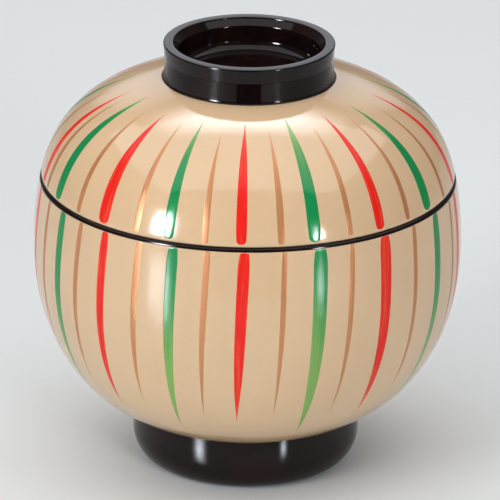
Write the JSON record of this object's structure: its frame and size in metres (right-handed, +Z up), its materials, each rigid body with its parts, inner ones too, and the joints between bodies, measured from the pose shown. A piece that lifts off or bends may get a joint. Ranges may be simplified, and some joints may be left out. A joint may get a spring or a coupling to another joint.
{
  "type": "lidded soup bowl",
  "caption": "Ball-shaped lidded soup bowl on a foot ring, with a lift-off domed lid whose hollow grip lets it stand upside down as a dish.",
  "frame": {"origin": "on the table, at the centre of the foot ring", "axes": "+Z up along the axis that every piece is turned about; -Y faces the picture's camera"},
  "size_m": [0.121, 0.121, 0.124],
  "materials": {
    "beige_lacquer": "glossy beige lacquer",
    "black_lacquer": "glossy black lacquer",
    "red_enamel": "brushed on, glossy",
    "green_enamel": "brushed on, glossy, a little translucent",
    "gold_paint": "thin metallic paint, brushed on"
  },
  "bodies": {
    "bowl": {"bowl_body": "beige_lacquer", "foot_ring": "black_lacquer"},
    "lid": {"lid_dome": "beige_lacquer", "lid_grip": "black_lacquer"}
  },
  "joints": [
    {"name": "lid_lift", "type": "slide", "parent": "bowl", "child": "lid", "axis": [0, 0, 1], "range_m": [0, 0.12]}
  ]
}
